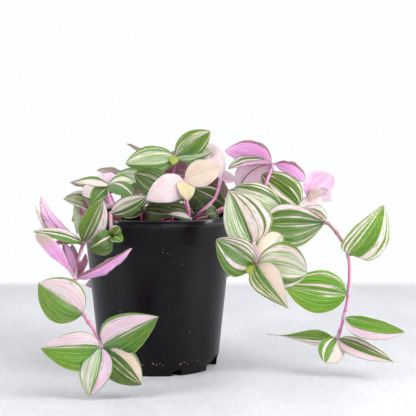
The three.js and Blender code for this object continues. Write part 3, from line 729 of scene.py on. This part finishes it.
def stem_mesh(name, girth, nodes, leafed, blush):
    """The stem with its sheaths. Its radius is three quarters of girth/2 between nodes and 20% of it
    more in a short swelling at each; a sheath is a thin sleeve that starts at a node's leaf and runs
    back to the ring below it, flared at its mouth. Each point carries how far along it is, how near a
    ring, 1 on a sheath, and its blush, which goes from blush[0] at the foot to blush[1] at the end."""
    curve, tangent, run, rows = stem_path(nodes)
    across = np.array([curve[-1][1] - curve[0][1], curve[0][0] - curve[-1][0], 0.0])
    across = across / np.linalg.norm(across) if np.linalg.norm(across) > 4 else np.array([0.3, 0.95, 0])
    ring = run[rows][None, :] - SHEATH
    near = np.exp(-(((run[:, None] - ring) / RING_WIDTH) ** 2)).sum(1)
    radius = girth / 2 * (SLIM + SWELLING * near)
    radius[-TAPER_ROWS:] *= np.linspace(1, TAPER, TAPER_ROWS)
    points = [tube(curve, tangent, radius, across), curve[:1], curve[-1:]]
    faces = capped_faces(len(curve), STEM_SIDES)
    plain = np.stack([run, near, np.zeros(len(run))], -1)
    look = [np.repeat(plain, STEM_SIDES, 0), [[0, 0, 0]], [[run[-1], 0, 0]]]
    first = len(curve) * STEM_SIDES + 2
    for row in rows[[index - 1 for index in sorted(leafed)]]:
        place = run[row] + SHEATH_LAP - SHEATH * np.linspace(0, 1, SHEATH_ROWS)
        place = np.clip(place, SHEATH_LOWEST, run[-1])
        line, way = (np.stack([np.interp(place, run, path[:, k]) for k in range(3)], -1)
                     for path in (curve, tangent))
        way /= np.linalg.norm(way, axis=1, keepdims=True)
        outer = girth / 2 * (SHEATH_SIZE + SHEATH_FLARE * np.linspace(1, 0, SHEATH_ROWS) ** 3)
        outer[-1] = girth / 2 * SHEATH_END
        there_and_back = [*range(SHEATH_ROWS), *range(SHEATH_ROWS - 1, -1, -1)]
        width = np.concatenate([outer, (outer - SHEATH_WALL)[::-1]])
        points.append(tube(line[there_and_back], way[there_and_back], width, across))
        sleeve = grid_faces(2 * SHEATH_ROWS, STEM_SIDES, close_rows=True, close_columns=True)
        faces += (sleeve + first).tolist()
        far = np.repeat(place[there_and_back], STEM_SIDES)
        look.append(np.stack([far, np.zeros(len(far)), np.ones(len(far))], -1))
        first += len(far)
    look = np.vstack(look)
    tinted = np.column_stack([look, np.interp(look[:, 0], [30, run[-1]], blush)])
    return mesh_piece(name, np.vstack(points), faces, stem=tinted)


def stem_finish():
    """Magenta low down, then pinkish brown or pale pink, with clouds and fine streaks; a sheath is thin
    and pale green-pink with fine lines; each node has a darker ring."""
    f = Finish(bpy.data.materials.new("juicy_stem"))
    run, near, sheath, blush = f.numbers("stem")
    place = f.place()
    cloud, lines = f.noise(place, 160.0, 2.0), f.noise(place, 1400.0, 2.0)

    def by_blush(brown, pink):
        return f.mix(blush, paint(*brown), paint(*pink))

    color = by_blush((186, 146, 142), (222, 138, 192))
    color = f.mix(cloud.step(0.45, 0.7) * 0.7, color, by_blush((150, 112, 104), (234, 176, 216)))
    color = f.mix(lines.step(0.5, 0.7) * 0.35, color, by_blush((206, 176, 168), (192, 74, 146)))
    color = f.mix(1 - run.step(12, 42), color, f.mix(cloud, paint(138, 26, 80), paint(190, 60, 128)))
    color = f.mix(near.step(0.5, 1.0) * 0.5, color, paint(170, 66, 116))
    thin = f.mix(lines.step(0.4, 0.6), paint(214, 168, 188), paint(226, 206, 204))
    return f.surface(f.mix(sheath * 0.55, color, thin), 0.3 + lines * 0.12, lines, 0.0001, 0.2,
                     Coat_Roughness=0.2, Specular_IOR_Level=0.4, Subsurface_Weight=0.4,
                     Subsurface_Radius=(0.003, 0.0015, 0.0015), Subsurface_Scale=1.0)


STEM = stem_finish()


def shoot(name, girth, nodes, leaves, seed, blush=(0.3, 0.3)):
    """One rooted shoot: a mesh of all its leaves and one of its stem, which replace its CAD node. Each
    point of a leaf carries its leaf's markings."""
    draw = np.random.default_rng(seed)
    points, uv = blades(leaves, nodes, seed)
    bands = np.array([[*np.ravel(markings(entry, draw)), *entry["silver"]] for entry in leaves])
    facts = np.array([[draw.uniform(20, 350), entry["tint"], entry["tone"]] for entry in leaves])
    bands, facts = (np.repeat(rows, 2 * BLADE_POINTS, 0) for rows in (bands, facts))
    foliage = mesh_piece(name + "_leaves", points, blade_faces(len(leaves)), uv, leaf=facts,
                         bands_a=bands[:, 0:4], bands_b=bands[:, 4:8], bands_c=bands[:, 8:12])
    side = np.zeros(len(foliage.data.polygons) // len(leaves), np.int32)
    side[BLADE_QUADS : 2 * BLADE_QUADS] = 1
    stem = stem_mesh(name + "_stem", girth, nodes, {entry["node"] for entry in leaves}, blush)
    for item, finishes in ((foliage, (BLADE_TOP, BLADE_BACK)), (stem, (STEM,))):
        for finish in finishes:
            item.data.materials.append(finish)
        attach(item, "root")
        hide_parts(name)
    foliage.data.polygons.foreach_set("material_index", np.tile(side, len(leaves)))


# Long shoot on the right: one rooted stem that arches over the rim and hangs almost to the table, with
# striped leaves on both sides of it. Its nodes and leaves, and those of the shoots below down to the
# long one on the left, are listed one by one.
shoot("right_trailer", 3, [
    (22, -3, 84), (40, -6, 106), (58, -10, 115), (71, -12, 116), (85, -17, 111), (97, -20, 112),
    (115, -24, 102), (124, -27, 91), (129, -28, 80), (129, -30, 54), (126, -30, 38), (122, -30, 24),
], [
    leaf(4, (52, -29, 126), (.3, -.9, .2), 21, .1, .1, tone=.4, tint=.2, silver=(.4, .6), form=(.7, .7),
         bands=[(-.14, .1), (-.88, .08), (-.62, .03), (.5, .02)]),
    leaf(5, (71, -10, 134), (0, -.9, .3), 25, -.02, -.12, tone=.45, tint=.35,
         bands=[(.88, .15), (.14, .1), (.34, .02), (-.45, .03), (-.85, .05)]),
    leaf(6, (72, -34, 102), (0, -.9, .35), 31, .03, .12, tone=.3, tint=.7, form=LONG_FOOT,
         bands=[(-.84, .14), (-.3, .006), (.14, .012), (.5, .02), (.84, .012)]),
    leaf(6, (95, -14, 108), (0, -.8, .55), 18, .1, tone=.4, tint=.7, silver=(.1, .5),
         bands=[(-.74, .2), (.2, .03), (.8, .06)]),
    leaf(8, (151, -36, 115), (.5, -.9, -.2), 35, .1, -.1, tone=.8, tint=.3, form=(.32, .8),
         bands=[(.84, .05), (.6, .05), (.36, .04), (-.6, .13), (-.86, .06)]),
    leaf(9, (86, -38, 61), (0, -.95, -.1), 30, .05, tone=1, tint=.5,
         bands=[(-.3, .035), (0, .03), (.14, .012), (-.86, .015)]),
    leaf(10, (165, -44, 31), (.1, -.8, .6), 17, 0, -.5, tone=.8, tint=1.3, form=(.5, .76),
         bands=[(-.84, .24), (.12, .01)]),
    leaf(11, (74, -30, 27), (0, -.8, .6), 12, -.05, tone=.6, tint=.8, form=DRAWN_OUT,
         bands=[(.5, .14), (.9, .14), (.1, .03)]),
    leaf(11, (113, -42, 10), (0, -.9, .3), 18, bands=[(.55, .45), (-.5, .1)], tone=.8, tint=.3, form=ROUND),
    leaf(11, (157, -52, 13), (.1, -.75, .65), 15, 0, -.1, tone=.5, tint=.9, form=(.5, .95),
         bands=[(.62, .14), (-.68, .3), (.15, .02)]),
], seed=21, blush=(-.9, 1))

# Shoot in front on the right: a short arched stem that bends down over the rim and carries large, pale
# leaves, most of them from its last node.
shoot("front_right", 3.2, [
    (30, -20, 84), (40, -30, 110), (48, -36, 113), (57, -50, 105), (63, -60, 91), (65, -62, 79),
], [
    leaf(4, (48, -62, 127), (.2, -.9, .3), 33, .05, -.2, tone=.3, tint=.5, silver=(.64, .52), form=(.42, .8),
         bands=[(-.27, .15), (-.57, .11), (-.84, .09), (.34, .015), (.94, .06)]),
    leaf(5, (40, -76, 97), (-.1, -.88, .25), 25, .08, .2, tone=.4, tint=.8,
         bands=[(.55, .09), (-.08, .04), (-.34, .04), (-.6, .08), (-.88, .08)]),
    leaf(5, (97, -77, 76), (.15, -.93, .32), 32, .07, tone=.35, tint=.5, silver=(.1, .6), form=(.62, .55),
         cup=1.8, bands=[(-.84, .07), (-.34, .08), (0, .04), (.36, .08), (.72, .13)]),
    leaf(5, (84.5, -92, 55.5), (0, -.95, .1), 20, .12, tone=.5, tint=-.8, form=(.62, 1.1),
         bands=[(.55, .46), (-.3, .04), (-.55, .05), (-.82, .06)]),
    leaf(5, (82, -46, 97), (0, -.92, .3), 18, .08, tone=.5, tint=-.6, silver=(-.3, .3), form=ROUND,
         bands=[(.36, .5), (-.5, .12)]),
    leaf(5, (62, -59, 94), (-.1, -.9, .4), 9, .04, look="pink", tint=.9, tone=.2),
    leaf(5, (60, -71, 74), (-.2, -.9, .1), 8, .1, bands=[(.6, .1)], tint=0, tone=2, form=ROUND),
    leaf(5, (69, -70, 72), (.2, -.9, .2), 6, .1, bands=[(.4, .1)], tint=0, tone=1.6, form=ROUND),
    leaf(1, (33, -36, 109), (-.1, -.9, .3), 11, .1, look="green", tone=.1, tint=.2),
], seed=22, blush=(.6, .6))

# Two shoots behind it: one bends forward and up to a tuft of leaves, and the other reaches out to the
# right at the back. They show mostly the lilac and pink undersides of their leaves.
shoot("top_right", 2.6, [
    (33, 4, 84), (46, 4, 110), (65, -4, 113), (71.6, -17, 122.6), (75.4, -14, 132), (79, -3, 140),
], [
    leaf(5, (46, -8, 150), (0, .7, .7), 24, .14, bands=[(-.12, .88)], tint=1.15, tone=.3),
    leaf(5, (48, -22, 138), (0, -.2, .98), 16, .03, tint=1, tone=.3, cup=3,
         bands=[(.55, .42), (-.4, .07), (-.8, .06)]),
    leaf(5, (101, -10, 130), (0, .55, .8), 20, .1, bands=[(.15, .75)], tint=1.1, tone=.3, form=(.8, .5)),
    leaf(5, (57, 4, 119), (.3, .9, .2), 30, 0, tint=.3, tone=.4, form=ROUND,
         bands=[(0, .38), (-.76, .33), (.76, .3)]),
    leaf(3, (66, -8, 127), (0, -.6, .7), 5, look="pink", tint=1.4, tone=.1),
    leaf(1, (25, -4, 123), (.2, -.9, .2), 17, look="green", tint=.6, tone=.15),
    leaf(2, (48, -14, 123), (-.2, .9, .3), 13, look="green", tint=1, tone=0),
], seed=23, blush=(1, .9))
shoot("right_back", 2.6, [
    (33, 22, 84), (41, 28, 110), (54, 35, 114), (70, 36, 113), (86, 34, 109), (106, 30, 114),
], [
    leaf(5, (122, 26, 132), (-.2, .8, .5), 25, .05, look="pink", tint=.75, tone=-.2, form=ROUND, ruffle=2),
    leaf(5, (112, 22, 107), (0, -.5, .8), 15, .1, look="pink", tint=.6, tone=-.2, ruffle=2),
    leaf(5, (117, 20, 119), (-.3, -.7, .6), 10, .1, look="pink", tint=.3, tone=-.2, ruffle=2),
    leaf(1, (16, 8, 119), (0, -.9, .3), 20, look="green", tint=.8, tone=.1),
    leaf(1, (16, 6, 102), (0, -.9, .4), 17, look="shade", tint=.9, tone=0),
    leaf(5, (125, 44, 111), (0, .7, .7), 18, .12, look="pink", tint=.3, tone=-.2),
], seed=24, blush=(.9, .9))

# Crown: the tallest stem with its upright green pair, the stem of the blush-pink pair in front of it,
# and a stem between them with one more pink leaf.
shoot("top", 2.8, [
    (8, 10, 84), (9, 8, 112), (10, 5, 132), (12, 2, 145),
], [
    leaf(3, (-22, -10, 141), (0, -.85, .45), 21, .02, tone=.5, tint=0, silver=(-.1, .5),
         bands=[(-.35, .07), (.3, .025), (-.75, .03)]),
    leaf(3, (36, -2, 163), (.2, -.9, .4), 19, tone=.6, tint=0, silver=(.36, .12),
         bands=[(.54, .075), (.2, .04), (-.74, .035)]),
    leaf(3, (37, -4, 149), (0, -.8, .6), 15, look="green", tone=.45, tint=.1, silver=(0, .8)),
    leaf(3, (10, -6, 140), (0, -.8, .6), 7, .1, bands=[(0, .05)], tint=0, tone=1.8),
], seed=25, blush=(.9, .6))
shoot("blush", 3.2, [
    (22, -36, 84), (22, -38, 106), (20, -36, 119), (19, -36, 131),
], [
    leaf(3, (-6, -50, 120), (0, -.9, .2), 19, .03, look="pink", tint=.7, tone=-.2, form=(.5, .85)),
    leaf(3, (43, -34, 140), (0, -.8, .5), 20, look="pink", tint=-.65, tone=-.2),
    leaf(3, (21, -47, 119), (.2, -.9, .3), 12, look="pink", tint=-2, tone=-.2, form=BROAD_FOOT),
    leaf(1, (8, -45, 110), (0, -.8, .5), 7, .2, bands=[(0, .5)], tint=.8, tone=.2),
], seed=26, blush=(1, 1))
shoot("blush_back", 2.4, [
    (22, -20, 84), (28, -24, 108), (39, -19, 118), (43, -17, 131),
], [
    leaf(3, (32, 13, 155), (0, -.9, .4), 17, look="pink", tint=.7, tone=-.2),
], seed=27, blush=(1, 1))

# Left of the crown: four short shoots with small leaves. The first carries a pale and pink rosette, and
# the others a few leaves each, most of them green, at the rim and over it.
shoot("left_crown", 2.4, [
    (-24, -22, 84), (-26, -45, 112), (-30, -43, 120), (-32, -27, 127),
], [
    leaf(3, (-54, -34, 130), (0, -.6, .8), 10, .1, bands=[(.3, .65)], tint=.4),
    leaf(3, (-15, -30, 130), (0, -.6, .8), 15, .12, bands=[(-.2, .75)], tint=.1, tone=.9),
    leaf(3, (-38, -5, 134), (0, -.9, .4), 14, .05, look="pink", tint=1.3, tone=-.2),
    leaf(3, (-43, -40, 116), (0, -.7, .7), 12, .1, look="green", tone=.6),
    leaf(3, (-14, -44, 120), (0, -.6, .8), 14, .14, bands=[(.3, .1)], tint=.9),
    leaf(3, (-52, -20, 122), (0, -.8, .6), 15, .1, look="pink", tone=-.2, ruffle=2),
    leaf(3, (-20, -20, 133), (0, -.7, .7), 9, .1, look="pink", tint=1.2, tone=-.2, ruffle=2),
    leaf(3, (-29, -34, 123), (0, -.8, .5), 6, .1, bands=[(0, .1)], tint=0, tone=1.7, form=ROUND),
], seed=28, blush=(1, .8))
shoot("centre_left", 2.6, [
    (2, -8, 84), (7, -8, 114), (5, -10, 124),
], [
    leaf(2, (-15, -18, 135), (0, -.95, .2), 21, .04, bands=[(-.3, .06), (.5, .02)], tone=.2, tint=.7),
    leaf(2, (-30, 6, 133), (0, -.8, .6), 19, .1, look="green", tone=.3, silver=(0, .6)),
], seed=29, blush=(.8, .8))
shoot("left_rim", 2.6, [
    (-24, -34, 84), (-28, -44, 110), (-29, -50, 111), (-28, -58, 97),
], [
    leaf(2, (-6, -50, 122), (.2, -.95, .1), 13, .05, tone=.2, tint=.8, silver=(.2, .2),
         bands=[(.64, .2), (.02, .08), (-.5, .02)]),
    leaf(3, (-42, -69, 90), (-.1, -.95, -.3), 17, .14, bands=[(-.25, .07)], tone=.25, tint=.1),
    leaf(3, (-22, -64, 103), (0, -.9, .3), 9, .05, look="green", tone=.4, form=ROUND),
    leaf(3, (-20, -70, 95), (0, -.8, .5), 8, .05, look="green", tone=.8),
], seed=30, blush=(.3, .4))
shoot("left_side", 2.4, [
    (-30, -8, 84), (-44, -18, 110), (-50, -22, 114), (-55, -22, 117),
], [
    leaf(3, (-54, -24, 94), (-.5, -.8, .3), 6, -.04, look="green", tone=.3, tint=.8, silver=(0, 1)),
    leaf(1, (-62, -30, 119), (0, -.7, .7), 16, .1, tone=.3, tint=1, silver=(0, .5), cup=1.8,
         bands=[(0, .03), (.84, .13), (-.84, .12)]),
    leaf(3, (-46, -30, 106), (-.2, .8, .5), 10, look="green", tone=0, tint=1),
], seed=31, blush=(.5, .5))

# Long shoot on the left: it climbs over the rim and hangs down the pot's left side, with curled lilac
# leaves at the rim and half-green, half-pale ones at its end.
shoot("left_trailer", 3, [
    (-26, -26, 84), (-36, -46, 112), (-42, -56, 106), (-46, -64, 93), (-50, -76, 72),
    (-44, -82, 50), (-38, -84, 41), (-33, -86, 30),
], [
    leaf(3, (-33, -62, 121), (.25, -.9, .1), 17, tone=.45, tint=.95,
         bands=[(-.5, .14), (-.8, .15), (-.12, .05), (.22, .015)]),
    leaf(3, (-72, -70, 124), (-.6, .6, -.5), 13, .17, bands=[(.5, .42), (-.42, .38)], tint=1.6, tone=.8,
         cup=1.6),
    leaf(3, (-75, -75, 118), (-.6, .7, -.3), 7, .19, look="pink", tint=1.7, tone=.8, cup=2.5),
    leaf(3, (-76, -76, 102), (0, -.55, .8), 12, .08, bands=[(.1, .14), (-.6, .24)], tone=.7, tint=.9),
    leaf(3, (-66, -76, 93), (0, .75, .65), 7, .12, bands=[(.7, .2)], tone=0, tint=1.2),
    leaf(4, (-73, -84, 102), (.45, .75, .45), 14, .04, look="pink", tint=1.2, tone=.6, form=(1.3, .6)),
    leaf(4, (-58, -72, 95), (.2, .9, .3), 9, .05, bands=[(.2, .6)], tint=1.7, tone=0, cup=2),
    leaf(4, (-53, -66, 93), (0, .9, .3), 8, bands=[(0, .1)], tint=1.5, tone=0),
    leaf(4, (-45, -60, 86), (.5, .9, .3), 9, look="green", tint=1, tone=0),
    leaf(4, (-14, -72, 91), (.2, .7, .7), 10, -.1, bands=[(.22, .74)], tint=2.1, tone=.2, ruffle=3),
    leaf(5, (-71, -92, 72), (-.1, -.9, .35), 29, .03, bands=[(-.47, .42), (.03, .012)], tone=.6, tint=.75),
    leaf(7, (3, -84, 49), (.1, -.9, .3), 27, .05, tone=.45, tint=.95, form=(.42, .92),
         bands=[(.48, .41), (0, .012)]),
    leaf(7, (-69, -100, 32), (-.1, -.95, .2), 25, .03, .2, tone=.8, tint=.9, form=(.46, .85),
         bands=[(-.55, .4), (-.02, .02)]),
    leaf(7, (-39, -103, 3), (0, -.8, .5), 21, tone=.7, tint=1.2, silver=(-.4, .5),
         bands=[(.6, .34), (-.4, .08), (-.8, .06)]),
    leaf(7, (-7, -98, 9), (.2, -.9, .2), 23, .05, tone=.14, tint=-.7,
         bands=[(.6, .3), (.02, .03), (-.3, .012)]),
], seed=32, blush=(.4, .6))

# The shoots in the middle and at the back, and two low ones in front, follow one rule: a stem rises from
# its foot, leans out along its azimuth and hangs, and its leaves stand left and right by turns, varied
# by a seeded draw.
RULED_GIRTH, RULED_BOW, LEAN = 2.6, 0.08, 3
SWAY, SIDEWAYS, FORWARD, UPWARD = (-1, 1), (0.7, 1), (0.3, 0.8), (0, 0.35)
LENGTHS, WIDTHS, OUTWARD = (0.85, 1.1), (0.48, 0.6), 0.2
LOOKS = ("striped", "half", "striped", "green", "pink", "striped", "pale", "half")
QUIET_LOOKS, SHADE_LOOKS = ("green", "half", "pink"), ("green", "green", "shade")


def ruled_shoot(name, azimuth, foot, top, reach, hang, count, size, seed, looks=LOOKS, dim=0.0):
    """The stem's nodes lie on the cubic Bezier curve from (foot, 99) by (foot + 3, top) and (reach, top) to
    (reach, hang), as (radius, height). The draw is state -> (9301 state + 49297) mod 233280."""
    state = seed

    def vary(bounds):
        nonlocal state
        state = (state * 9301 + 49297) % 233280
        return bounds[0] + (bounds[1] - bounds[0]) * state / 233280

    angle = math.radians(azimuth)
    out = np.array([math.cos(angle), math.sin(angle), 0])
    side = np.array([-math.sin(angle), math.cos(angle), 0])
    up = np.array([0, 0, 1.0])
    route = (foot, STEM_FOOT[-1]), (foot + LEAN, top), (reach, top), (reach, hang)
    a, b, c, d = (out * r + up * z for r, z in route)
    nodes, leaves = [tuple(out * foot + up * STEM_FOOT[0])], []
    draw = np.random.default_rng(seed + azimuth)
    for node in range(1, count + 1):
        t = node / count
        place = (1 - t) ** 3 * a + 3 * (1 - t) ** 2 * t * b + 3 * (1 - t) * t**2 * c + t**3 * d
        tangent = (1 - t) ** 2 * (b - a) + 2 * (1 - t) * t * (c - b) + t**2 * (d - c)
        tangent /= np.linalg.norm(tangent)
        nodes.append(tuple(place + side * vary(SWAY)))
        for hand in ([1, -1] if node == count else [1 if node % 2 == 0 else -1]):
            way = side * (hand * vary(SIDEWAYS)) + tangent * vary(FORWARD) + out * OUTWARD
            way = way + up * vary(UPWARD)
            length = size * vary(LENGTHS)
            tip = np.array(nodes[-1]) + way / np.linalg.norm(way) * length
            faces = up * (0.6 + 0.3 * tangent[2]) + out * (0.6 - 0.3 * tangent[2])
            if node > 1:
                leaves.append(leaf(
                    node, tip, faces, vary(WIDTHS) * length, RULED_BOW, look=draw.choice(looks),
                    tint=draw.uniform(0, 0.7), tone=draw.uniform(0.3, 0.85) * (1 - dim),
                ))
    shoot(name, RULED_GIRTH, nodes, leaves, azimuth, (0.8, 0.6))


# Azimuth, the stem's foot, top, reach and hang, the nodes, the leaves' size, and the seed.
ruled_shoot("back_left_trailer", 112, 36, 132, 64, 50, 6, 36, 1)
ruled_shoot("back_right_trailer", 74, 34, 128, 66, 70, 5, 35, 1)
ruled_shoot("left_back", 152, 34, 124, 50, 114, 4, 29, 4)
ruled_shoot("middle_back", 95, 18, 138, 26, 136, 4, 32, 1, SHADE_LOOKS, 0.2)
ruled_shoot("middle_right", 36, 26, 134, 36, 128, 4, 30, 11, QUIET_LOOKS, 0.4)
ruled_shoot("low_front", 255, 28, 116, 32, 112, 3, 22, 16, SHADE_LOOKS, 0.9)
ruled_shoot("low_right", 285, 20, 116, 24, 112, 3, 20, 7, SHADE_LOOKS, 0.9)

# Table: a plain pale table top, whose far edge lies a third of a metre behind the pot and fades into a
# white background.
TABLE_FRONT, TABLE_EDGE, TABLE_SIDE = -1600, 380, 1600
FADE_FROM, FADE_TO = 330, 370
table = mesh_piece("table_top", [(-TABLE_SIDE, TABLE_FRONT, 0), (TABLE_SIDE, TABLE_FRONT, 0),
                                 (TABLE_SIDE, TABLE_EDGE, 0), (-TABLE_SIDE, TABLE_EDGE, 0)], [[0, 1, 2, 3]])


def table_finish():
    """Pale grey with faint broad clouds, a fine mottle and a grain, as of a smooth concrete top. It turns
    clear over its last few centimetres."""
    f = Finish(bpy.data.materials.new("pale_table"))
    place = f.place()
    x, y, _ = f.parts(place)
    cloud = f.noise(f.vector(x * 20, y * 8, 0), 1.0, 5.0, 0.6)
    mottle = f.noise(f.vector(x * 220, y * 90, 4), 1.0, 4.0)
    grain = f.noise(place, 900.0, 2.0)
    color = f.mix(cloud.step(0.3, 0.75), paint(190, 191, 195), paint(200, 201, 206))
    color = f.mix(mottle.step(0.42, 0.72) * 0.35, color, paint(176, 177, 181))
    color = f.mix(grain.step(0.5, 0.8) * 0.2, color, paint(170, 171, 175))
    return f.surface(color, 0.62, grain, 0.00005, clear=y.step(FADE_FROM * MM, FADE_TO * MM))


table.data.materials.append(table_finish())

# Studio: a white surround that is darker in front, a large soft light overhead, and a tall soft panel at
# each side that draws the long highlights down the pot. Places are in metres and powers in watts.
AIM = np.array([0, 0, 0.08])
LIGHTS = (
    ("overhead", (0.2, 0.25, 1.2), 2.6, 2.6, 12),
    ("left_panel", (-0.56, -0.33, 0.32), 0.26, 0.9, 4.8),
    ("right_panel", (0.6, -0.26, 0.32), 0.4, 0.9, 7.6),
)


def white_surround():
    """White at full strength where the camera sees it. As light on the object it is 0.8 behind and
    falls to 0.11 in front."""
    f = Finish(bpy.data.worlds.new("white_surround"))
    _, y, _ = f.parts(f.node("ShaderNodeTexCoord")[0])
    seen = f.node("ShaderNodeLightPath")[0]
    room = f.node("ShaderNodeMapRange", {}, y, -0.8, 0.1, 0.11, 0.8)[0]
    strength = f.node("ShaderNodeMapRange", {}, seen, 0, 1, room, 1)[0]
    f.node("ShaderNodeOutputWorld", {}, f.node("ShaderNodeBackground", {}, paint(253, 254, 255), strength)[0])
    return f.owner


bpy.context.scene.world = white_surround()
bpy.context.scene.view_settings.view_transform = "Standard"
for name, place, width, height, power in LIGHTS:
    lamp = bpy.data.lights.new(name, "AREA")
    lamp.shape, lamp.size, lamp.size_y, lamp.energy = "RECTANGLE", width, height, power
    light = put(name, lamp)
    light.location = place
    away = (AIM - place) / np.linalg.norm(AIM - place)
    light.rotation_euler = (math.acos(-away[2]), 0, math.atan2(away[1], away[0]) - math.pi / 2)

# Camera: about 0.8 m in front of the pot, a little above the plant's top and tilted down to the pot's
# rim, on a long lens, as in the photograph.
lens = bpy.data.cameras.new("camera")
lens.lens, lens.sensor_width, lens.clip_start = 104.5, 36, 0.01
camera = put("camera", lens)
camera.location = (0.0344, -0.835, 0.191)
camera.rotation_euler = (math.radians(90 - 5.56), 0, 0)
bpy.context.scene.camera = camera
